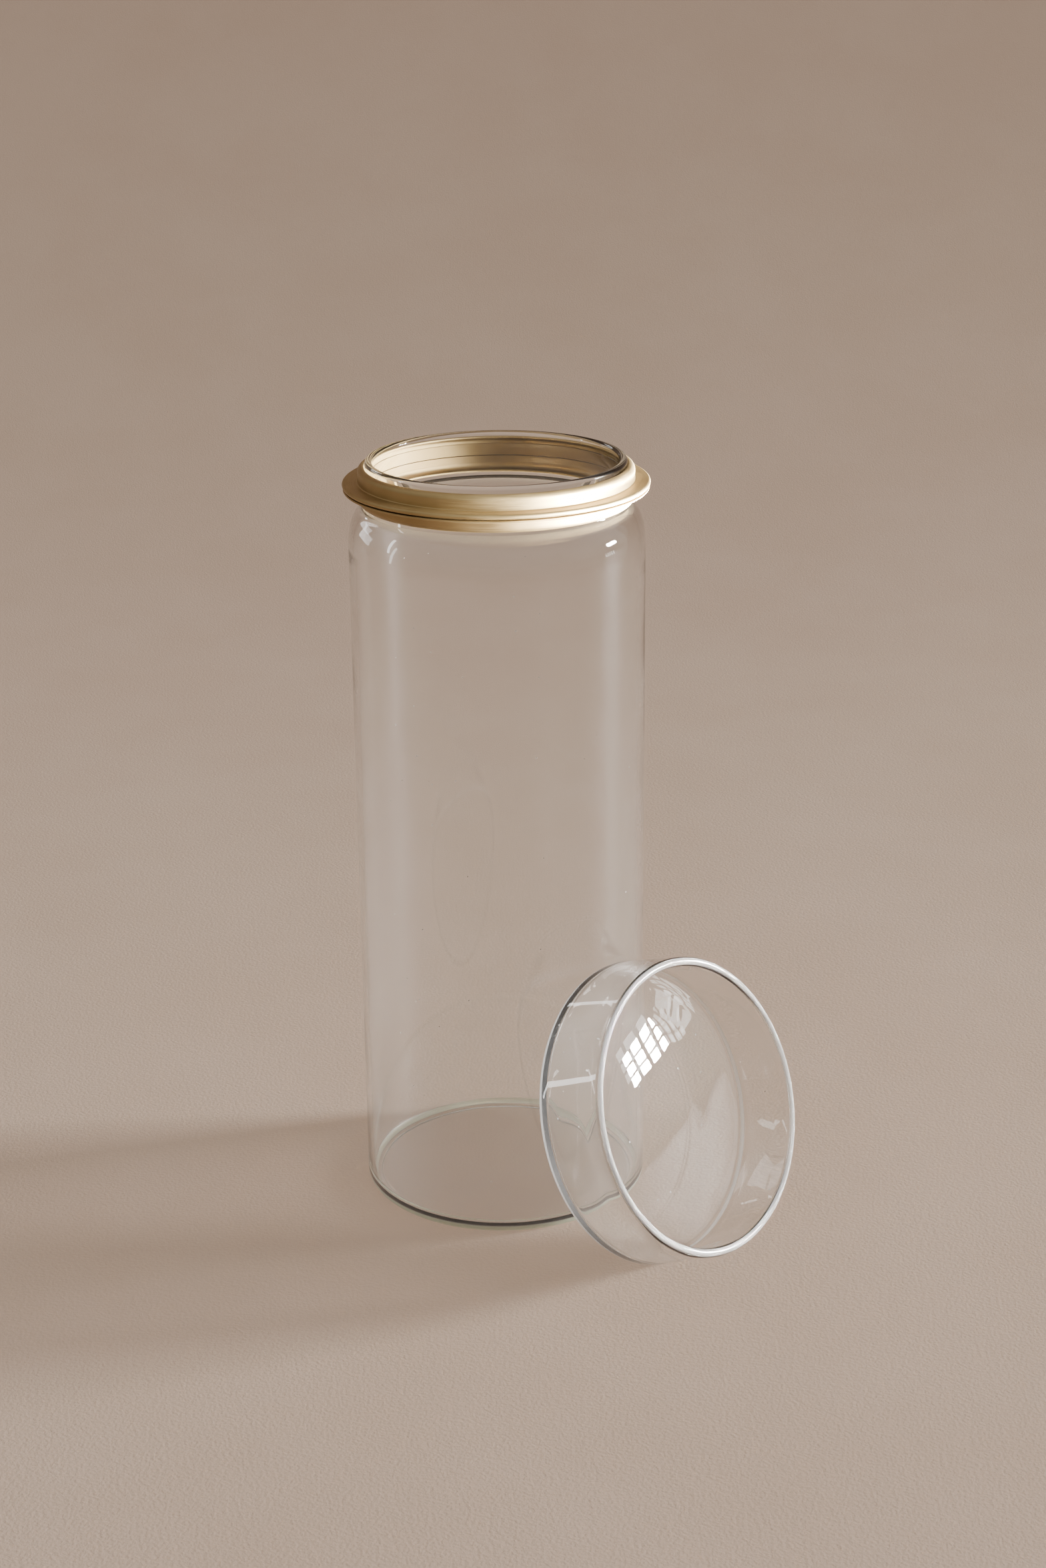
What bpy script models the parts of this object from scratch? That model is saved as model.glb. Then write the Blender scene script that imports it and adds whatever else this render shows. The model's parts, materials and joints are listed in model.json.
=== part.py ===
"""Tall glass storage canister with a spun brass collar and a loose glass cap leaning on it.

Metres, +Z up. The origin is the centre of the jar's flat underside, and +Z is the jar's axis.
The cap stands on its edge beside the jar, on the +X side, with its closed face against the jar.
"""
from math import cos, pi, radians, sin, sqrt, tau

import bmesh
import bpy

SEGMENTS = 64

# Jar: one blown glass vessel with a straight wall, a rounded shoulder and a narrower neck.
JAR_R = 0.0500
JAR_WALL = 0.0022
BASE_T = 0.0025
HEEL_R = 0.0024
INNER_CORNER_R = 0.0028
SHOULDER_Z = 0.2360
SHOULDER_RISE = 0.0130
NECK_R = 0.0438
NECK_WALL = 0.0024
LIP_TOP_Z = 0.2645
LIP_R = 0.0013

# Collar: two spun sheets round the neck, whose flanges lie one on the other.
SHEET_T = 0.0009
BAND_R = 0.0463
BAND_TOP_Z = 0.2623
BAND_ROLL_R = 0.0020
FLANGE_R = 0.0515
FLANGE_TOP_Z = 0.2572
UPPER_FLANGE_T = 0.0017
LOWER_FLANGE_T = 0.0007
SKIRT_TURN_R = 0.0021
SKIRT_END_Z = 0.2498

# Clear bonding ring that holds the collar on the neck.
BOND_INNER_R = 0.0441
BOND_OUTER_R = 0.0450
BOND_BOTTOM_Z = 0.2528
BOND_TOP_Z = 0.2598

# Cap: a shallow glass cup that fits over the band and sits on the flange.
CAP_RIM_R = 0.05035
CAP_R = 0.0518
CAP_H = 0.0268
CAP_WALL = 0.0025
CAP_RIM_T = 0.0032
CAP_CORNER_R = 0.0026
CAP_INNER_CORNER_R = 0.0018

# The cap's closed face is dished: its middle is sunk by CAP_DISH.
CAP_DISH = 0.0030
DISH_STEPS = 4

# The cap leans back against the jar: its closed face tips from upright by CAP_LEAN.
CAP_LEAN = radians(22.4)
CAP_SIDE_SHIFT = -0.0080
GAP = 0.0003
RING_SAMPLES = 720


def clear_scene():
    for item in list(bpy.data.objects):
        bpy.data.objects.remove(item, do_unlink=True)


def material(name, colour, roughness, metallic=0.0, transmission=0.0):
    made = bpy.data.materials.new(name)
    made.use_nodes = True
    shader = made.node_tree.nodes["Principled BSDF"]
    shader.inputs["Base Color"].default_value = (*colour, 1.0)
    shader.inputs["Roughness"].default_value = roughness
    shader.inputs["Metallic"].default_value = metallic
    shader.inputs["Transmission Weight"].default_value = transmission
    made.diffuse_color = (*colour, 1.0)
    return made


def arc(centre_r, centre_z, radius_r, radius_z, start, end, steps):
    """Points (radius, height) on an elliptical arc, from the start angle to the end angle."""
    angles = [radians(start + (end - start) * i / steps) for i in range(steps + 1)]
    return [(centre_r + radius_r * cos(a), centre_z + radius_z * sin(a)) for a in angles]


def turned(name, outline, surface, closed):
    """A solid of revolution about Z. The outline runs up the inside and down the outside."""
    bm = bmesh.new()
    verts = [bm.verts.new((r, 0.0, z)) for r, z in outline]
    ends = verts[1:] + verts[:1] if closed else verts[1:]
    edges = [bm.edges.new(pair) for pair in zip(verts, ends)]
    bmesh.ops.spin(bm, geom=verts + edges, axis=(0, 0, 1), angle=tau, steps=SEGMENTS)
    bmesh.ops.remove_doubles(bm, verts=bm.verts, dist=1e-6)
    bmesh.ops.recalc_face_normals(bm, faces=bm.faces)
    mesh = bpy.data.meshes.new(name)
    bm.to_mesh(mesh)
    bm.free()
    mesh.shade_smooth()
    mesh.set_sharp_from_angle(angle=radians(35))
    mesh.materials.append(surface)
    made = bpy.data.objects.new(name, mesh)
    bpy.context.scene.collection.objects.link(made)
    return made


def jar_body(glass):
    inner_r = JAR_R - JAR_WALL
    bore_r = NECK_R - NECK_WALL
    lip_centre_r = NECK_R - LIP_R
    corner_r = inner_r - INNER_CORNER_R
    corner_z = BASE_T + INNER_CORNER_R
    corner = arc(corner_r, corner_z, INNER_CORNER_R, INNER_CORNER_R, -90, 0, 4)
    under_shoulder = arc(bore_r, SHOULDER_Z - JAR_WALL, inner_r - bore_r, SHOULDER_RISE, 0, 84, 5)
    lip = arc(lip_centre_r, LIP_TOP_Z - LIP_R, LIP_R, LIP_R, 180, 0, 6)
    shoulder = arc(NECK_R, SHOULDER_Z, JAR_R - NECK_R, SHOULDER_RISE, 84, 0, 5)
    heel = arc(JAR_R - HEEL_R, HEEL_R, HEEL_R, HEEL_R, 0, -90, 4)
    bore_foot = (bore_r, SHOULDER_Z + SHOULDER_RISE)
    neck_foot = (NECK_R, SHOULDER_Z + SHOULDER_RISE)
    inside = [(0.0, BASE_T), *corner, *under_shoulder, bore_foot]
    outline = [*inside, *lip, neck_foot, *shoulder, *heel, (0.0, 0.0)]
    return turned("jar_body", outline, glass, closed=False)


def collar_upper_shell(brass):
    """Flange, upright band and inward-rolled top edge, spun from one sheet."""
    inner_r = BAND_R - SHEET_T
    roll_r = BAND_R - BAND_ROLL_R
    roll_z = BAND_TOP_Z - BAND_ROLL_R
    under_z = FLANGE_TOP_Z - UPPER_FLANGE_T
    edge_r = UPPER_FLANGE_T / 2
    inside_roll = arc(roll_r, roll_z, BAND_ROLL_R - SHEET_T, BAND_ROLL_R - SHEET_T, 0, 90, 3)
    outside_roll = arc(roll_r, roll_z, BAND_ROLL_R, BAND_ROLL_R, 90, 0, 4)
    flange_edge = arc(FLANGE_R - edge_r, FLANGE_TOP_Z - edge_r, edge_r, edge_r, 90, -90, 5)
    outline = [(inner_r, under_z), *inside_roll, *outside_roll, (BAND_R, FLANGE_TOP_Z), *flange_edge]
    return turned("collar_upper_shell", outline, brass, closed=True)


def collar_lower_shell(brass):
    """Thin lower flange and a short skirt that turns in under it to meet the neck."""
    top_z = FLANGE_TOP_Z - UPPER_FLANGE_T - GAP
    under_z = top_z - LOWER_FLANGE_T
    inner_r = BAND_R - SHEET_T
    turn_z = SKIRT_END_Z + SKIRT_TURN_R
    turn_r = BAND_R - SKIRT_TURN_R
    inside_turn = arc(turn_r, turn_z, SKIRT_TURN_R - SHEET_T, SKIRT_TURN_R - SHEET_T, -90, 0, 3)
    outside_turn = arc(turn_r, turn_z, SKIRT_TURN_R, SKIRT_TURN_R, 0, -90, 4)
    flange = [(inner_r, top_z), (FLANGE_R - GAP, top_z), (FLANGE_R - GAP, under_z), (BAND_R, under_z)]
    return turned("collar_lower_shell", [*inside_turn, *flange, *outside_turn], brass, closed=True)


def collar_bond_ring(silicone):
    outline = [
        (BOND_INNER_R, BOND_BOTTOM_Z), (BOND_INNER_R, BOND_TOP_Z),
        (BOND_OUTER_R, BOND_TOP_Z), (BOND_OUTER_R, BOND_BOTTOM_Z),
    ]
    return turned("collar_bond_ring", outline, silicone, closed=True)


def cap_stand_off(ring_r):
    """How far from the jar's axis the cap's closed ring stands, for its edge just to clear the jar."""
    reach = JAR_R + GAP + CAP_CORNER_R
    offsets = []
    for i in range(RING_SAMPLES):
        turn = tau * i / RING_SAMPLES
        side = ring_r * cos(turn) + CAP_SIDE_SHIFT
        if abs(side) < reach:
            offsets.append(ring_r * sin(turn) * sin(CAP_LEAN) + sqrt(reach ** 2 - side ** 2))
    return max(offsets)


def dish(edge_r, edge_z):
    """Points of a dished face from its middle out, without the edge point itself."""
    shares = [i / DISH_STEPS for i in range(DISH_STEPS)]
    return [(edge_r * share, edge_z - CAP_DISH * (1 - share ** 2)) for share in shares]


def lid_cap(glass):
    """Built rim down with its rim's plane at zero, then stood on its edge against the jar."""
    rim_round = CAP_RIM_T / 2
    inner_r = CAP_R - CAP_WALL
    ceiling_z = CAP_H - CAP_WALL
    inner_face = dish(inner_r - CAP_INNER_CORNER_R, ceiling_z)
    outer_face = dish(CAP_R - CAP_CORNER_R, CAP_H)
    inner_corner = arc(
        inner_r - CAP_INNER_CORNER_R, ceiling_z - CAP_INNER_CORNER_R,
        CAP_INNER_CORNER_R, CAP_INNER_CORNER_R, 90, 0, 4,
    )
    rim = arc(CAP_RIM_R - rim_round, rim_round, rim_round, rim_round, 180, 360, 6)
    corner = arc(CAP_R - CAP_CORNER_R, CAP_H - CAP_CORNER_R, CAP_CORNER_R, CAP_CORNER_R, 0, 90, 4)
    outline = [*inner_face, *inner_corner, *rim, *corner, *reversed(outer_face)]
    cap = turned("lid_cap", outline, glass, closed=False)

    ring_r = CAP_R - CAP_CORNER_R
    ring_z = ring_r * cos(CAP_LEAN) + CAP_CORNER_R
    along = CAP_H - CAP_CORNER_R
    ring_x = cap_stand_off(ring_r)
    cap.rotation_euler = (0.0, -(pi / 2 + CAP_LEAN), 0.0)
    cap.location = (ring_x + along * cos(CAP_LEAN), CAP_SIDE_SHIFT, ring_z + along * sin(CAP_LEAN))
    return cap


def main():
    clear_scene()
    jar_glass = material("jar_glass", (0.93, 0.95, 0.92), 0.02, transmission=1.0)
    cap_glass = material("cap_glass", (0.94, 0.94, 0.93), 0.03, transmission=1.0)
    satin_brass = material("satin_brass", (0.80, 0.62, 0.36), 0.32, metallic=1.0)
    seam_brass = material("seam_brass", (0.72, 0.54, 0.30), 0.36, metallic=1.0)
    clear_silicone = material("clear_silicone", (0.82, 0.78, 0.68), 0.45, transmission=0.6)
    jar_body(jar_glass)
    collar_upper_shell(satin_brass)
    collar_lower_shell(seam_brass)
    collar_bond_ring(clear_silicone)
    lid_cap(cap_glass)


main()
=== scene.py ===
"""Looks for the glass canister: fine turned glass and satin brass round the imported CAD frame."""

import json
from math import cos, hypot, pi, radians, sin, tan, tau

import bmesh
import bpy
from mathutils import Matrix, Vector, noise


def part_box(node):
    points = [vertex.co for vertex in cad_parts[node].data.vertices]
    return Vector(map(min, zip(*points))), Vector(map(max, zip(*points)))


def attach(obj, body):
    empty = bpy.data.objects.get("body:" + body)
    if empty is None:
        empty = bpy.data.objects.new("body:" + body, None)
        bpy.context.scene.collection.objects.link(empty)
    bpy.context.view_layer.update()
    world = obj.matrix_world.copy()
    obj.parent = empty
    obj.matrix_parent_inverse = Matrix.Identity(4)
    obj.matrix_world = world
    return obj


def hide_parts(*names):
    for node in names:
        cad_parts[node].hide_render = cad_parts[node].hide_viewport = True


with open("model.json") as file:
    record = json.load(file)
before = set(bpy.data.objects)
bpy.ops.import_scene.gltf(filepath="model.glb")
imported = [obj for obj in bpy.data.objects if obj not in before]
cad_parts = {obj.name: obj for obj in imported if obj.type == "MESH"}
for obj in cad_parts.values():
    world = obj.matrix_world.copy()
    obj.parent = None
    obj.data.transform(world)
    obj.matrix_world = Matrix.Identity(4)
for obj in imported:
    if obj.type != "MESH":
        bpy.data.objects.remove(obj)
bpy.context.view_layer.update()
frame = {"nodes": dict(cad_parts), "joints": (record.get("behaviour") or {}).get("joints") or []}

# Fine profiles, in metres. The outer sizes that a node's box gives are read from the frame.
ROUND_STEPS = 256
ARC_STEPS = 10
WALL_ROWS = 48

JAR_R = 0.0500
JAR_WALL = 0.0022
BASE_T = 0.0025
HEEL_R = 0.0024
INNER_CORNER_R = 0.0028
SHOULDER_Z = 0.2360
SHOULDER_RISE = 0.0130
NECK_R = 0.0438
NECK_WALL = 0.0024
LIP_R = 0.0013
NECK_BLEND_FROM = 60
NECK_BLEND_RISE = 0.0075
NECK_BEND_Z = 0.2470
NECK_BEND_REACH = 0.0025
FILM_FULL_Z = 0.0300
FILM_END_Z = 0.2440
FOOT_RING_R = 0.0455
FOOT_HOLLOW = 0.0004

SHEET_T = 0.0009
BAND_R = 0.0463
BAND_ROLL_R = 0.0020
UPPER_FLANGE_T = 0.0017
FLANGE_FILLET_R = 0.0004
LOWER_FLANGE_T = 0.0007
SKIRT_TURN_R = 0.0021

BOND_INNER_R = 0.0441
BOND_EDGE_R = 0.0003

CAP_RIM_R = 0.05035
CAP_R = 0.0518
CAP_WALL = 0.0025
CAP_RIM_T = 0.0032
CAP_CORNER_R = 0.0026
CAP_INNER_CORNER_R = 0.0018
CAP_DISH = 0.0030

# Hand-formed glass is never quite even: how far its inner faces wander, and over what distances.
JAR_WAVER = 0.00014
JAR_WAVER_AROUND = 0.040
JAR_WAVER_UP = 0.150
FLOOR_WAVER = 0.00010
FLOOR_WAVER_SCALE = 1.7
CAP_WAVER = 0.00030
CAP_WAVER_ALONG = 0.017

# Camera: looks along CAMERA_BEARING from the +Y axis, anticlockwise seen from above.
CAMERA_BEARING = radians(39.98)
CAMERA_PITCH = radians(19.84)
CAMERA_ROLL = radians(0.574)
CAMERA_SPOT = Vector((0.00793, -0.8370, 0.4507))
CAMERA_LENS = 58.70
SENSOR_LONG = 36.0

# The paper sweep: flat under the canister, then curving up behind it.
FLOOR_DROP = 0.0003
SWEEP_REACH = 2.4
FAR_FLOOR_DROP = 0.004
FAR_FLOOR_REACH = 60.0
SWEEP_FLAT = 0.60
SWEEP_CURVE_R = 1.1
SWEEP_TOP = 3.0
PAPER_LIGHT = (0.68, 0.53, 0.425)
PAPER_DEEP = (0.655, 0.503, 0.397)
PAPER_MOTTLE_SCALE = 9.0
PAPER_TOOTH_SCALE = 900.0
PAPER_TOOTH_DEPTH = 0.0003

# Texture scales are in features to a metre. Specks are (cells to a metre, radius in cells, share).
# Glass: its clear colour, the jar's colour and dullness where its glass is heavy, the cap's dull
# near-white on its rim crest and turned corner, which is a painted highlight, its film, and its marks.
CLEAR_COLOUR = (0.99, 0.99, 0.985)
JAR_THICK_COLOUR = (0.74, 0.82, 0.64)
JAR_THICK_DULL = 0.62
JAR_HAZE = 0.02
JAR_BEND_SHARE = 0.35
JAR_FILM_SHARE = 0.55
# The cap's rim crest and turned corner are made dull and near-white: a painted highlight standing in
# for the bright lines that light refracted through the rim gives.
CAP_PAINTED_HIGHLIGHT_COLOUR = (0.98, 0.99, 0.98)
CAP_PAINTED_HIGHLIGHT_DULL = 0.50
CAP_HAZE = 0.03
CAP_FILM_SHARE = 0.06
COAT_ROUGHNESS = 0.4
SMUDGE_SCALE = 38.0
SMUDGE_GRAIN_SCALE = 700.0
DUST_SPECKS = (170.0, 0.065, 0.14)
DUST_DULL = 0.70
MARK_ROUGHNESS = 0.012
RIPPLE_SCALE = 28.0
RIPPLE_DEPTH = 0.0004
RIPPLE_STRENGTH = 0.35
LAMP_SHARE_FACE_ON = 0.84
LAMP_SHARE_EDGE_ON = 0.10

# Brass: (light colour, deep colour, roughness) of each sheet.
UPPER_BRASS = ((0.45, 0.335, 0.165), (0.36, 0.26, 0.115), 0.41)
LOWER_BRASS = ((0.42, 0.305, 0.150), (0.33, 0.235, 0.105), 0.43)
LATHE_SCALE = 2600.0
LATHE_LINE_DEPTH = 0.00003
LATHE_LINE_STRENGTH = 0.25
LATHE_TURN = 0.002
TONE_SCALE = 45.0
PIT_SPECKS = (260.0, 0.05, 0.06)
PIT_DEPTH = 0.00008
PIT_STRENGTH = 0.6

# Bonding compound.
BOND_MOTTLE_SCALE = 350.0
BOND_MOTTLE_DEPTH = 0.0001

# Lamps: bearing, elevation, distance, size and radiance. The window's power is in watts.
WARM_WHITE = (1.0, 0.98, 0.95)
WHITE = (1.0, 1.0, 1.0)
LIGHT_AIM = Vector((0.02, 0, 0.10))
COLLAR_AIM = Vector((0, 0, 0.256))
WINDOW_BEARING = 80.8
WINDOW_ELEVATION = 7.5
WINDOW_DISTANCE = 8.0
WINDOW_SIZE = (1.565, 0.533)
WINDOW_PANES = (5, 3)
WINDOW_BARS = (0.090, 0.040)
WINDOW_SPREAD = 24
WINDOW_POWER = 27
COLLAR_LAMPS = {
    "collar_key": (110, 0, 0.60, (0.40, 0.25), 420),
    "collar_inner": (75, -26, 0.42, (0.40, 0.14), 1300),
}
GLASS_CARDS = {
    "left_card": (-51, 17, 1.8, (0.62, 0.30), 3.5),
    "left_strip": (-90, 17, 1.6, (0.07, 0.60), 16),
    "back_strip": (-34, 30, 1.5, (0.07, 0.30), 16),
}
CAP_FILLS = {
    "cap_fill_right": (38, 24, 1.8, (0.7, 0.7), 12),
    "cap_fill_left": (-110, 24, 1.8, (0.7, 0.7), 30),
}

# Room light: its strength and tint at the horizon and overhead, and its glow round the window.
HORIZON_STRENGTH = 0.42
HORIZON_TINT = (1.0, 0.86, 0.70)
ZENITH_STRENGTH = 0.62
ZENITH_TINT = (1.0, 0.95, 0.90)
WINDOW_GLOW = 0.35


# ---------------------------------------------------------------- outlines and turned meshes

def arc(centre_r, centre_z, radius_r, radius_z, start, end, steps=ARC_STEPS):
    """Points (radius, height) on an elliptical arc, from the start angle to the end angle."""
    angles = [radians(start + (end - start) * i / steps) for i in range(steps + 1)]
    return [(centre_r + radius_r * cos(a), centre_z + radius_z * sin(a)) for a in angles]


def straight(start, end, steps):
    """Points strictly between start and end, so that a long wall has rows to waver."""
    shares = [i / steps for i in range(1, steps)]
    return [tuple(a + (b - a) * share for a, b in zip(start, end)) for share in shares]


def bowed(edge_r, edge_z, sink, steps=12):
    """Points of a shallow round face from its middle out, its middle sink below its edge."""
    shares = [i / steps for i in range(steps)]
    return [(edge_r * share, edge_z - sink * (1 - share ** 2)) for share in shares]


def eased(start, bend, end, steps=12):
    """Points after start on a smooth curve to end that leaves start and meets end pointing at bend."""
    shares = [i / steps for i in range(1, steps + 1)]
    points = []
    for share in shares:
        weights = ((1 - share) ** 2, 2 * share * (1 - share), share ** 2)
        r, z = (sum(w * at for w, at in zip(weights, ways)) for ways in zip(start, bend, end))
        points.append((r, z))
    return points


def turned(name, outline, closed, steps=ROUND_STEPS):
    """A solid of revolution about Z. The outline runs up the inside and down the outside."""
    bm = bmesh.new()
    verts = [bm.verts.new((r, 0.0, z)) for r, z in outline]
    ends = verts[1:] + verts[:1] if closed else verts[1:]
    edges = [bm.edges.new(pair) for pair in zip(verts, ends)]
    bmesh.ops.spin(bm, geom=verts + edges, axis=(0, 0, 1), angle=tau, steps=steps)
    bmesh.ops.remove_doubles(bm, verts=bm.verts, dist=1e-7)
    bmesh.ops.recalc_face_normals(bm, faces=bm.faces)
    mesh = bpy.data.meshes.new(name)
    bm.to_mesh(mesh)
    bm.free()
    mesh.shade_smooth()
    mesh.set_sharp_from_angle(angle=radians(40))
    made = bpy.data.objects.new(name, mesh)
    bpy.context.scene.collection.objects.link(made)
    return made


def swell(low, high, value):
    """0 at low and below, 1 at high and above, smooth between."""
    share = min(max((value - low) / (high - low), 0.0), 1.0)
    return share * share * (3 - 2 * share)


def fits(piece, stands_for, body, surface):
    """Puts a finished piece in its CAD node's place, and hands it back."""
    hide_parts(stands_for)
    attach(piece, body)
    piece.data.materials.append(surface)
    return piece


# ---------------------------------------------------------------- pieces

def make_jar(surface):
    low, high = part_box("jar_body")
    outer_r = (high.x - low.x) / 2
    lip_z = high.z - LIP_R
    inner_r = outer_r - JAR_WALL
    bore_r = NECK_R - NECK_WALL
    neck_z = SHOULDER_Z + SHOULDER_RISE
    inner_corner_z = BASE_T + INNER_CORNER_R
    under_shoulder_z = SHOULDER_Z - JAR_WALL
    shoulder = arc(bore_r, under_shoulder_z, inner_r - bore_r, SHOULDER_RISE, 0, NECK_BLEND_FROM)
    leave_r, leave_z = shoulder[-1]
    slope = SHOULDER_RISE / (inner_r - bore_r) / tan(radians(NECK_BLEND_FROM))
    bend = (bore_r, leave_z + (leave_r - bore_r) * slope)
    bore_foot = (bore_r, leave_z + NECK_BLEND_RISE)
    wavers_from_z = BASE_T * 0.8
    wavers_to_r = inner_r + JAR_WALL / 4
    inside = [
        *bowed(inner_r - INNER_CORNER_R, BASE_T, -FOOT_HOLLOW),
        *arc(inner_r - INNER_CORNER_R, inner_corner_z, INNER_CORNER_R, INNER_CORNER_R, -90, 0),
        *straight((inner_r, inner_corner_z), (inner_r, under_shoulder_z), WALL_ROWS),
        *shoulder, *eased(shoulder[-1], bend, bore_foot),
        *straight(bore_foot, (bore_r, lip_z), 5),
    ]
    outside = [
        *straight((NECK_R, lip_z), (NECK_R, neck_z), 5),
        *arc(NECK_R, SHOULDER_Z, outer_r - NECK_R, SHOULDER_RISE, 80, 0),
        *straight((outer_r, SHOULDER_Z), (outer_r, HEEL_R), WALL_ROWS),
        *arc(outer_r - HEEL_R, HEEL_R, HEEL_R, HEEL_R, 0, -90),
        *arc(FOOT_RING_R - HEEL_R, 0.0, HEEL_R, FOOT_HOLLOW, 0, 90, 6),
    ]
    lip = arc(NECK_R - LIP_R, lip_z, LIP_R, LIP_R, 180, 0, 16)
    jar = turned("jar_glass_body", [*inside, *lip, *outside, (0.0, FOOT_HOLLOW)], closed=False)
    for vertex in jar.data.vertices:
        x, y, z = vertex.co
        r = hypot(x, y)
        if wavers_from_z < z < under_shoulder_z and r < wavers_to_r:
            spot = Vector((x / JAR_WAVER_AROUND, y / JAR_WAVER_AROUND, z / JAR_WAVER_UP))
            wall = swell(inner_corner_z, 4 * inner_corner_z, z) * JAR_WAVER * noise.noise(spot)
            middle = 1 - swell(inner_r * 0.7, inner_r * 0.9, r)
            floor = middle * FLOOR_WAVER * noise.noise(spot * FLOOR_WAVER_SCALE)
            stretch = 1 + wall / max(r, BASE_T)
            vertex.co = (x * stretch, y * stretch, z + floor)
    return fits(jar, "jar_body", "jar", surface)


def make_upper_collar(surface):
    low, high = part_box("collar_upper_shell")
    flange_z = low.z + UPPER_FLANGE_T
    roll_r = BAND_R - BAND_ROLL_R
    roll_z = high.z - BAND_ROLL_R
    inside_r = BAND_ROLL_R - SHEET_T
    lip_r = SHEET_T / 2
    edge = UPPER_FLANGE_T / 2
    edge_centre_r = (high.x - low.x) / 2 - edge
    fillet = FLANGE_FILLET_R
    outline = [
        (BAND_R - SHEET_T, low.z), *arc(roll_r, roll_z, inside_r, inside_r, 0, 90),
        *arc(roll_r, high.z - lip_r, lip_r, lip_r, 270, 90, 8)[1:-1],
        *arc(roll_r, roll_z, BAND_ROLL_R, BAND_ROLL_R, 90, 0),
        *arc(BAND_R + fillet, flange_z + fillet, fillet, fillet, 180, 270, 6),
        *arc(edge_centre_r, flange_z - edge, edge, edge, 90, -90, 14),
    ]
    shell = turned("collar_upper_ring", outline, closed=True)
    return fits(shell, "collar_upper_shell", "jar", surface)


def make_lower_collar(surface):
    low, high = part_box("collar_lower_shell")
    under_z = high.z - LOWER_FLANGE_T
    turn_z = low.z + SKIRT_TURN_R
    turn_r = BAND_R - SKIRT_TURN_R
    inside_r = SKIRT_TURN_R - SHEET_T
    lip_r = SHEET_T / 2
    edge = LOWER_FLANGE_T / 2
    edge_centre_r = (high.x - low.x) / 2 - edge
    fillet = FLANGE_FILLET_R
    outline = [
        *arc(turn_r, turn_z, inside_r, inside_r, -90, 0), (BAND_R - SHEET_T, high.z),
        *arc(edge_centre_r, high.z - edge, edge, edge, 90, -90, 8),
        *arc(BAND_R + fillet, under_z - fillet, fillet, fillet, 90, 180, 6),
        *arc(turn_r, turn_z, SKIRT_TURN_R, SKIRT_TURN_R, 0, -90),
        *arc(turn_r, low.z + lip_r, lip_r, lip_r, 270, 90, 8)[1:-1],
    ]
    shell = turned("collar_lower_ring", outline, closed=True)
    return fits(shell, "collar_lower_shell", "jar", surface)


def make_bond(surface):
    low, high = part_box("collar_bond_ring")
    soft = BOND_EDGE_R
    inner_r = BOND_INNER_R + soft
    outer_r = (high.x - low.x) / 2 - soft
    outline = [
        *arc(inner_r, low.z + soft, soft, soft, 270, 180, 4),
        *arc(inner_r, high.z - soft, soft, soft, 180, 90, 4),
        *arc(outer_r, high.z - soft, soft, soft, 90, 0, 4),
        *arc(outer_r, low.z + soft, soft, soft, 0, -90, 4),
    ]
    ring = turned("bond_bead", outline, closed=True, steps=128)
    return fits(ring, "collar_bond_ring", "jar", surface)


def cap_pose():
    """(rim centre, unit axis from the rim to the closed face, height), read from the CAD cap."""
    axis = -Vector(frame["joints"][0]["axis"]).normalized()
    side = Vector((0, 1, 0))
    rise = axis.cross(side).normalized()
    node = frame["nodes"]["lid_cap"]
    spots = [node.matrix_world @ vertex.co for vertex in node.data.vertices]
    middle = Vector((0, 0, 0))
    for direction in (side, rise):
        reach = [spot.dot(direction) for spot in spots]
        middle += direction * (min(reach) + max(reach)) / 2
    depth = [spot.dot(axis) for spot in spots]
    return middle + axis * min(depth), axis, max(depth) - min(depth)


def make_cap(surface):
    rim_centre, axis, top_z = cap_pose()
    inner_r = CAP_R - CAP_WALL
    ceiling_z = top_z - CAP_WALL
    rim_round = CAP_RIM_T / 2
    rim_inner_r = CAP_RIM_R - CAP_RIM_T
    inner_edge_r = inner_r - CAP_INNER_CORNER_R
    inner_edge_z = ceiling_z - CAP_INNER_CORNER_R
    outer_edge_r = CAP_R - CAP_CORNER_R
    outer_edge_z = top_z - CAP_CORNER_R
    skirt_foot_z = 3 * rim_round
    outline = [
        *bowed(inner_edge_r, ceiling_z, CAP_DISH),
        *arc(inner_edge_r, inner_edge_z, CAP_INNER_CORNER_R, CAP_INNER_CORNER_R, 90, 0),
        *straight((inner_r, inner_edge_z), (rim_inner_r, skirt_foot_z), 10),
        *arc(CAP_RIM_R - rim_round, rim_round, rim_round, rim_round, 180, 360, 20),
        *straight((CAP_RIM_R, rim_round), (CAP_R, outer_edge_z), 10),
        *arc(outer_edge_r, outer_edge_z, CAP_CORNER_R, CAP_CORNER_R, 0, 90),
        *reversed(bowed(outer_edge_r, top_z, CAP_DISH)),
    ]
    cap = turned("cap_glass_body", outline, closed=False)
    for vertex in cap.data.vertices:
        x, y, z = vertex.co
        r = hypot(x, y)
        if skirt_foot_z < z < inner_edge_z and inner_edge_r < r < inner_r + CAP_WALL / 4:
            fade_in = swell(skirt_foot_z, 2 * skirt_foot_z, z)
            fade_out = 1 - swell(inner_edge_z - CAP_RIM_T, inner_edge_z, z)
            push = fade_in * fade_out * CAP_WAVER * noise.noise(vertex.co / CAP_WAVER_ALONG)
            vertex.co = (x * (1 + push / r), y * (1 + push / r), z)
    turn = Vector((0, 0, 1)).rotation_difference(axis).to_matrix().to_4x4()
    cap.data.transform(Matrix.Translation(rim_centre) @ turn)
    return fits(cap, "lid_cap", "lid", surface)


# ---------------------------------------------------------------- materials

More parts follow.
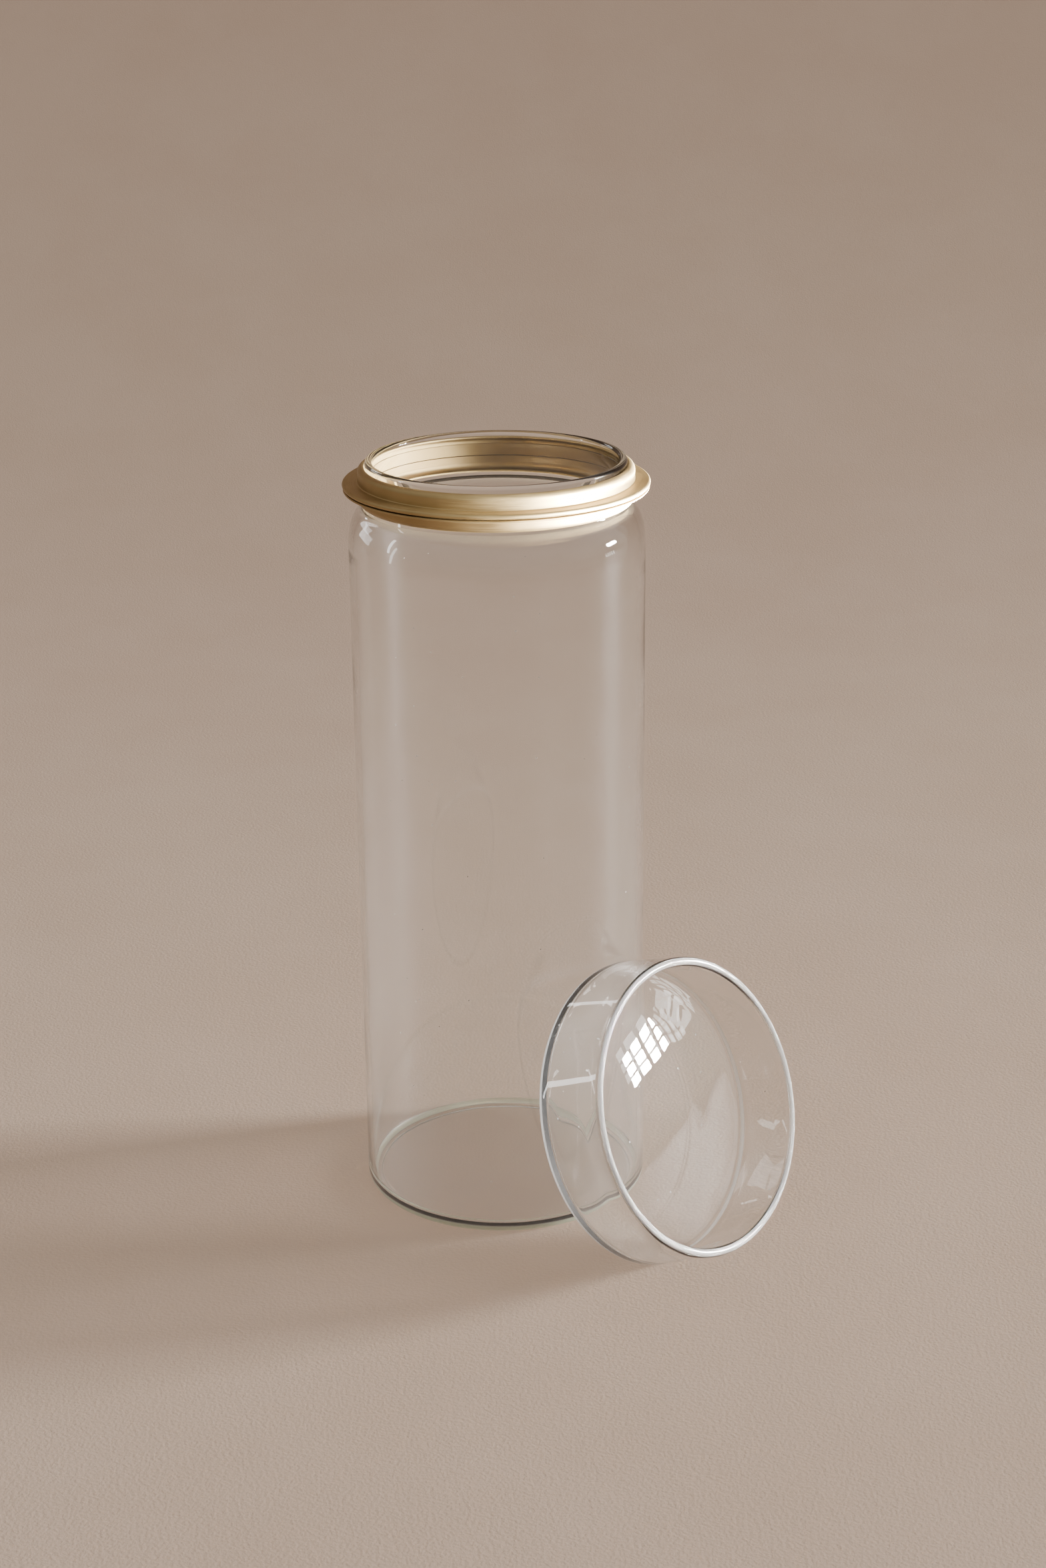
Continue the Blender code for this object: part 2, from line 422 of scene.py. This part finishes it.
class Surface:
    """A Principled material, with short ways to add and join the nodes that drive it."""

    def __init__(self, name, **sockets):
        self.material = bpy.data.materials.new(name)
        self.material.use_nodes = True
        self.tree = self.material.node_tree
        self.shader = self.tree.nodes["Principled BSDF"]
        for socket, value in sockets.items():
            self.shader.inputs[socket.replace("_", " ")].default_value = value

    def add(self, kind, inputs=None, **settings):
        """A new node. inputs holds a value or another node's output for each named socket."""
        made = self.tree.nodes.new("ShaderNode" + kind)
        for name, value in settings.items():
            setattr(made, name, value)
        for name, value in (inputs or {}).items():
            if isinstance(value, bpy.types.NodeSocket):
                self.tree.links.new(value, made.inputs[name])
            else:
                made.inputs[name].default_value = value
        return made

    def place(self):
        """The surface's own coordinates in metres."""
        return self.add("TexCoord").outputs["Object"]

    def noise(self, where, scale, detail=3.0, rough=0.5, warp=0.0):
        sockets = {"Vector": where, "Scale": scale, "Detail": detail}
        sockets.update({"Roughness": rough, "Distortion": warp})
        return self.add("TexNoise", sockets).outputs["Fac"]

    def remap(self, value, low, high, to_low, to_high):
        """Takes low to to_low and high to to_high, smooth between and level outside."""
        sockets = {"Value": value, "From Min": low, "From Max": high}
        sockets.update({"To Min": to_low, "To Max": to_high})
        return self.add("MapRange", sockets, interpolation_type="SMOOTHSTEP").outputs["Result"]

    def maths(self, operation, first, second):
        return self.add("Math", {0: first, 1: second}, operation=operation).outputs[0]

    def blend(self, share, first, second):
        """A colour between first and second."""
        made = self.add("Mix", {0: share}, data_type="RGBA")
        for socket, colour in zip((made.inputs[6], made.inputs[7]), (first, second)):
            if isinstance(colour, bpy.types.NodeSocket):
                self.tree.links.new(colour, socket)
            else:
                socket.default_value = (*colour, 1.0)
        return made.outputs[2]

    def bump(self, height, distance, strength=1.0, under=None):
        sockets = {"Height": height, "Distance": distance, "Strength": strength}
        if under is not None:
            sockets["Normal"] = under
        return self.add("Bump", sockets).outputs["Normal"]

    def drive(self, **sources):
        for socket, source in sources.items():
            self.tree.links.new(source, self.shader.inputs[socket.replace("_", " ")])
        return self.material


def specks(surface, where, scale, radius, share):
    """1 on small round specks, 0 elsewhere. scale is cells to a metre, share the part with a speck."""
    cells = surface.add("TexVoronoi", {"Vector": where, "Scale": scale, "Randomness": 1.0})
    near = surface.remap(cells.outputs["Distance"], radius * 0.6, radius, 1.0, 0.0)
    picked = surface.add("SeparateColor", {"Color": cells.outputs["Color"]}).outputs[0]
    chosen = surface.maths("GREATER_THAN", picked, 1.0 - share)
    return surface.maths("MULTIPLY", near, chosen)


def from_axis(surface, parts):
    """Distance from the jar's axis."""
    level = surface.add("CombineXYZ", {"X": parts["X"], "Y": parts["Y"]}).outputs[0]
    return surface.add("VectorMath", {0: level}, operation="LENGTH").outputs["Value"]


def lets_lamps_through(surface, facing_share, edge_share):
    """Lamps reach through the glass: dimmed a little face on, and more where a wall is seen edge on."""
    edge = surface.add("LayerWeight", {"Blend": 0.35}).outputs["Facing"]
    tint = surface.blend(edge, (facing_share,) * 3, (edge_share,) * 3)
    clear = surface.add("BsdfTransparent", {"Color": tint}).outputs[0]
    for_lamps = surface.add("LightPath").outputs["Is Shadow Ray"]
    mixed = surface.add("MixShader", {0: for_lamps, 1: surface.shader.outputs[0], 2: clear})
    output = surface.tree.nodes["Material Output"]
    surface.tree.links.new(mixed.outputs[0], output.inputs["Surface"])


def jar_shares(surface, where):
    """(thick, film) for the jar: its heel and neck bend, and the film that grows down its wall."""
    parts = surface.add("SeparateXYZ", {"Vector": where}).outputs
    height = parts["Z"]
    from_middle = from_axis(surface, parts)
    low = surface.remap(height, HEEL_R * 0.9, HEEL_R * 1.3, 1.0, 0.0)
    outer = surface.remap(from_middle, JAR_R - HEEL_R * 1.1, JAR_R - HEEL_R * 0.6, 0.0, 1.0)
    heel = surface.maths("MULTIPLY", low, outer)
    over = surface.remap(height, NECK_BEND_Z - NECK_BEND_REACH, NECK_BEND_Z, 0.0, 1.0)
    under = surface.remap(height, NECK_BEND_Z, NECK_BEND_Z + NECK_BEND_REACH, JAR_BEND_SHARE, 0.0)
    inner = surface.remap(from_middle, NECK_R, NECK_R + NECK_BEND_REACH * 0.4, 1.0, 0.0)
    bend = surface.maths("MULTIPLY", surface.maths("MULTIPLY", over, under), inner)
    film = surface.remap(height, FILM_FULL_Z, FILM_END_Z, JAR_FILM_SHARE, 0.0)
    return surface.maths("MAXIMUM", heel, bend), film


def cap_shares(surface, where):
    """(highlight, film) for the cap. The first marks the crest of its rim and its turned corner, which
    are made dull and near-white as a painted highlight; the second is its film.
    """
    centre, axis, top = cap_pose()
    from_rim = surface.add("VectorMath", {0: where, 1: centre}, operation="SUBTRACT").outputs[0]
    height = surface.add("VectorMath", {0: from_rim, 1: axis}, operation="DOT_PRODUCT").outputs["Value"]
    crest = surface.remap(height, CAP_RIM_T * 0.08, CAP_RIM_T * 0.26, 1.0, 0.0)
    up = surface.add("VectorMath", {0: axis, "Scale": height}, operation="SCALE").outputs[0]
    level = surface.add("VectorMath", {0: from_rim, 1: up}, operation="SUBTRACT").outputs[0]
    out = surface.add("VectorMath", {0: level}, operation="LENGTH").outputs["Value"]
    outer = surface.remap(out, CAP_R - CAP_CORNER_R * 0.6, CAP_R - CAP_CORNER_R * 0.2, 0.0, 1.0)
    high = surface.remap(height, top - CAP_CORNER_R * 1.1, top - CAP_CORNER_R * 0.8, 0.0, 1.0)
    corner = surface.maths("MULTIPLY", outer, high)
    return surface.maths("MAXIMUM", crest, corner), surface.maths("MAXIMUM", corner, CAP_FILM_SHARE)


def glass(name, haze, shares, tint_and_highlight_colour, body_and_highlight_dull):
    """Clear glass with faint smudges, dust specks, a slow ripple and a soft film.

    shares gives the film, and where the glass takes a colour and some body: on the jar where it is seen
    through much glass; on the cap on its rim's crest and turned corner, where the dull near-white is a
    painted highlight.
    """
    made = Surface(name, IOR=1.5, Roughness=0.0, Transmission_Weight=1.0)
    made.shader.inputs["Coat Roughness"].default_value = COAT_ROUGHNESS
    where = made.place()
    cloud = made.remap(made.noise(where, SMUDGE_SCALE, 4.0, 0.55, 0.6), 0.50, 0.72, 0.0, 1.0)
    grain = made.remap(made.noise(where, SMUDGE_GRAIN_SCALE, 2.0), 0.35, 0.65, 0.5, 1.0)
    smudge = made.maths("MULTIPLY", cloud, grain)
    dust = specks(made, where, *DUST_SPECKS)
    # The first share is the jar's heavy heel and neck bend, tinted and dulled, and on the cap a painted
    # highlight: the rim's crest and turned corner dulled to near-white.
    thick_and_highlight, film = shares(made, where)
    smears = made.maths("MULTIPLY", smudge, haze)
    marks = made.maths("MAXIMUM", smears, made.maths("MULTIPLY", dust, DUST_DULL))
    dull = made.maths("MAXIMUM", marks, made.maths("MULTIPLY", thick_and_highlight, body_and_highlight_dull))
    ripple = made.noise(where, RIPPLE_SCALE, 1.0)
    lets_lamps_through(made, LAMP_SHARE_FACE_ON, LAMP_SHARE_EDGE_ON)
    return made.drive(
        Base_Color=made.blend(thick_and_highlight, CLEAR_COLOUR, tint_and_highlight_colour),
        Roughness=made.maths("MULTIPLY", made.maths("ADD", smudge, dust), MARK_ROUGHNESS),
        Transmission_Weight=made.maths("SUBTRACT", 1.0, dull),
        Coat_Weight=film,
        Normal=made.bump(ripple, RIPPLE_DEPTH, RIPPLE_STRENGTH),
    )


def spun_brass(name, light, deep, rough):
    """Satin brass with fine lines round its axis, a slow change of tone and a few tiny pits."""
    made = Surface(name, Metallic=1.0)
    where = made.place()
    parts = made.add("SeparateXYZ", {"Vector": where}).outputs
    turn = made.maths("MULTIPLY", made.maths("ARCTAN2", parts["Y"], parts["X"]), LATHE_TURN)
    lathe = made.add("CombineXYZ", {"X": turn, "Y": from_axis(made, parts), "Z": parts["Z"]}).outputs[0]
    lines = made.noise(lathe, LATHE_SCALE, 3.0, 0.6)
    tone = made.noise(where, TONE_SCALE, 3.0, 0.6)
    cloud = made.remap(tone, 0.35, 0.65, 0.0, 1.0)
    pits = specks(made, where, *PIT_SPECKS)
    grained = made.maths("ADD", made.maths("MULTIPLY", cloud, 0.6), made.maths("MULTIPLY", lines, 0.4))
    satin = made.remap(lines, 0.3, 0.7, rough - 0.04, rough + 0.05)
    fine = made.bump(lines, LATHE_LINE_DEPTH, LATHE_LINE_STRENGTH)
    return made.drive(
        Base_Color=made.blend(grained, deep, light),
        Roughness=made.maths("ADD", satin, made.maths("MULTIPLY", cloud, 0.03)),
        Normal=made.bump(pits, PIT_DEPTH, -PIT_STRENGTH, fine),
    )


def silicone():
    """Clear bonding compound, with a slight cloud and an uneven face."""
    made = Surface("clear_bond", IOR=1.41, Transmission_Weight=1.0)
    where = made.place()
    mottle = made.noise(where, BOND_MOTTLE_SCALE, 3.0)
    lets_lamps_through(made, 0.92, 0.60)
    return made.drive(
        Base_Color=made.blend(mottle, (0.93, 0.91, 0.86), (0.98, 0.97, 0.94)),
        Roughness=made.remap(mottle, 0.3, 0.7, 0.04, 0.10),
        Normal=made.bump(mottle, BOND_MOTTLE_DEPTH, 0.3),
    )


def paper():
    """Warm pale seamless paper, faintly mottled, with a fine tooth."""
    made = Surface("paper_sweep", Specular_IOR_Level=0.3)
    where = made.place()
    mottle = made.noise(where, PAPER_MOTTLE_SCALE, 6.0, 0.65)
    tooth = made.noise(where, PAPER_TOOTH_SCALE, 2.0)
    return made.drive(
        Base_Color=made.blend(made.remap(mottle, 0.3, 0.7, 0.0, 1.0), PAPER_DEEP, PAPER_LIGHT),
        Roughness=made.remap(mottle, 0.3, 0.7, 0.62, 0.70),
        Normal=made.bump(tooth, PAPER_TOOTH_DEPTH, 0.4),
    )


# ---------------------------------------------------------------- studio

def make_camera():
    data = bpy.data.cameras.new("camera")
    data.lens = CAMERA_LENS
    data.sensor_width = SENSOR_LONG
    data.sensor_fit = "AUTO"
    made = bpy.data.objects.new("camera", data)
    bpy.context.scene.collection.objects.link(made)
    bearing = Matrix.Rotation(CAMERA_BEARING, 4, "Z")
    tilt = Matrix.Rotation(pi / 2 - CAMERA_PITCH, 4, "X")
    roll = Matrix.Rotation(-CAMERA_ROLL, 4, "Z")
    made.matrix_world = bearing @ Matrix.Translation(CAMERA_SPOT) @ tilt @ roll
    bpy.context.scene.camera = made


def make_floor(surface):
    """Floor and backdrop in one sheet of paper that curves up behind the canister."""
    outline = [(-SWEEP_REACH, -FLOOR_DROP), (SWEEP_FLAT, -FLOOR_DROP)]
    outline += arc(SWEEP_FLAT, SWEEP_CURVE_R - FLOOR_DROP, SWEEP_CURVE_R, SWEEP_CURVE_R, -90, 0, 24)[1:]
    outline.append((SWEEP_FLAT + SWEEP_CURVE_R, SWEEP_TOP))
    bm = bmesh.new()
    rows = []
    for ahead, z in outline:
        rows.append([bm.verts.new((side, ahead, z)) for side in (-SWEEP_REACH, SWEEP_REACH)])
    for first, second in zip(rows, rows[1:]):
        bm.faces.new((first[0], first[1], second[1], second[0]))
    mesh = bpy.data.meshes.new("sweep")
    bm.to_mesh(mesh)
    bm.free()
    mesh.shade_smooth()
    mesh.materials.append(surface)
    made = bpy.data.objects.new("sweep", mesh)
    bpy.context.scene.collection.objects.link(made)
    made.rotation_euler = (0, 0, CAMERA_BEARING)


def make_far_floor(surface):
    """The studio floor under the paper, out of the picture, for the glass and brass to mirror."""
    mesh = bpy.data.meshes.new("far_floor")
    reach = FAR_FLOOR_REACH
    corners = ((-reach, -reach), (reach, -reach), (reach, reach), (-reach, reach))
    mesh.from_pydata([(x, y, -FAR_FLOOR_DROP) for x, y in corners], [], [(0, 1, 2, 3)])
    mesh.materials.append(surface)
    made = bpy.data.objects.new("far_floor", mesh)
    bpy.context.scene.collection.objects.link(made)


def area_light(name, spot, aim, size, power, colour, spread=180):
    data = bpy.data.lights.new(name, "AREA")
    data.spread = radians(spread)
    data.shape = "RECTANGLE"
    data.size, data.size_y = size
    data.energy = power
    data.color = colour
    made = bpy.data.objects.new(name, data)
    bpy.context.scene.collection.objects.link(made)
    made.location = spot
    made.rotation_euler = (spot - aim).to_track_quat("Z", "Y").to_euler()
    made.visible_camera = False
    return made


def lit_only(lamp, pieces):
    """Keeps a lamp to the pieces named, as a flag or a snoot would."""
    group = bpy.data.collections.new(lamp.name + "_lights")
    for piece in pieces:
        group.objects.link(piece)
    lamp.light_linking.receiver_collection = group


def direction(bearing, elevation):
    """A unit vector. bearing is from the camera's viewing direction, clockwise seen from above."""
    turn = CAMERA_BEARING - radians(bearing)
    level = Vector((-sin(turn), cos(turn), 0))
    return cos(radians(elevation)) * level + Vector((0, 0, sin(radians(elevation))))


def softboxes(aim, lamps, colour):
    """Area lights that face the point they are aimed at, one for each row of a table of lamps."""
    made = []
    for name, (bearing, elevation, distance, size, radiance) in lamps.items():
        power = radiance * pi * size[0] * size[1]
        spot = aim + distance * direction(bearing, elevation)
        made.append(area_light(name, spot, aim, size, power, colour))
    return made


def make_window():
    """A key light in panes, so that the glass mirrors a soft lattice instead of one hard block."""
    columns, rows = WINDOW_PANES
    width, height = WINDOW_SIZE
    middle = LIGHT_AIM + WINDOW_DISTANCE * direction(WINDOW_BEARING, WINDOW_ELEVATION)
    back = (middle - LIGHT_AIM).normalized()
    across = Vector((0, 0, 1)).cross(back).normalized()
    up = back.cross(across)
    pane = (width / columns - WINDOW_BARS[0], height / rows - WINDOW_BARS[1])
    pane_power = WINDOW_POWER / (columns * rows)
    for column in range(columns):
        for row in range(rows):
            shift = ((column + 0.5) / columns - 0.5) * width * across
            lift = ((row + 0.5) / rows - 0.5) * height * up
            spot = middle + shift + lift
            name = f"key_pane_{column + 1}_{row + 1}"
            area_light(name, spot, LIGHT_AIM, pane, pane_power, WARM_WHITE, WINDOW_SPREAD)


def make_world():
    """Soft room light, dimmer at the horizon than overhead, with a broad glow round the window."""
    world = bpy.data.worlds.new("studio")
    bpy.context.scene.world = world
    world.use_nodes = True
    tree = world.node_tree

    def ramp(value, low, high, to_low, to_high):
        made = tree.nodes.new("ShaderNodeMapRange")
        made.interpolation_type = "SMOOTHSTEP"
        limits = {"From Min": low, "From Max": high, "To Min": to_low, "To Max": to_high}
        for name, limit in limits.items():
            made.inputs[name].default_value = limit
        tree.links.new(value, made.inputs["Value"])
        return made.outputs["Result"]

    way = tree.nodes.new("ShaderNodeTexCoord").outputs["Generated"]
    parts = tree.nodes.new("ShaderNodeSeparateXYZ")
    tree.links.new(way, parts.inputs[0])
    toward = tree.nodes.new("ShaderNodeVectorMath")
    toward.operation = "DOT_PRODUCT"
    toward.inputs[1].default_value = direction(WINDOW_BEARING, 0)
    tree.links.new(way, toward.inputs[0])
    total = tree.nodes.new("ShaderNodeMath")
    strength = ramp(parts.outputs["Z"], 0.1, 0.9, HORIZON_STRENGTH, ZENITH_STRENGTH)
    glow = ramp(toward.outputs["Value"], 0.55, 1.0, 0.0, WINDOW_GLOW)
    tree.links.new(strength, total.inputs[0])
    tree.links.new(glow, total.inputs[1])
    tint = tree.nodes.new("ShaderNodeMix")
    tint.data_type = "RGBA"
    tint.inputs[6].default_value = (*HORIZON_TINT, 1.0)
    tint.inputs[7].default_value = (*ZENITH_TINT, 1.0)
    tree.links.new(ramp(parts.outputs["Z"], 0.05, 0.35, 0.0, 1.0), tint.inputs[0])
    background = tree.nodes["Background"]
    tree.links.new(tint.outputs[2], background.inputs["Color"])
    tree.links.new(total.outputs[0], background.inputs["Strength"])


make_camera()
sheet = paper()
make_floor(sheet)
make_far_floor(sheet)

jar = make_jar(glass("clear_jar_glass", JAR_HAZE, jar_shares, JAR_THICK_COLOUR, JAR_THICK_DULL))
cap = make_cap(glass("clear_cap_glass", CAP_HAZE, cap_shares, CAP_PAINTED_HIGHLIGHT_COLOUR, CAP_PAINTED_HIGHLIGHT_DULL))
brass = [
    make_upper_collar(spun_brass("satin_brass_spun", *UPPER_BRASS)),
    make_lower_collar(spun_brass("satin_brass_seam", *LOWER_BRASS)),
]
bond = make_bond(silicone())
for piece in (jar, cap, bond):
    piece.visible_diffuse = False

make_window()
for lamp in softboxes(COLLAR_AIM, COLLAR_LAMPS, WARM_WHITE):
    lit_only(lamp, brass)
for lamp in softboxes(LIGHT_AIM, GLASS_CARDS, WHITE):
    lit_only(lamp, [jar, cap])
for lamp in softboxes(LIGHT_AIM, CAP_FILLS, WHITE):
    lamp.visible_glossy = False
    lamp.visible_transmission = False
    lit_only(lamp, [cap])
make_world()
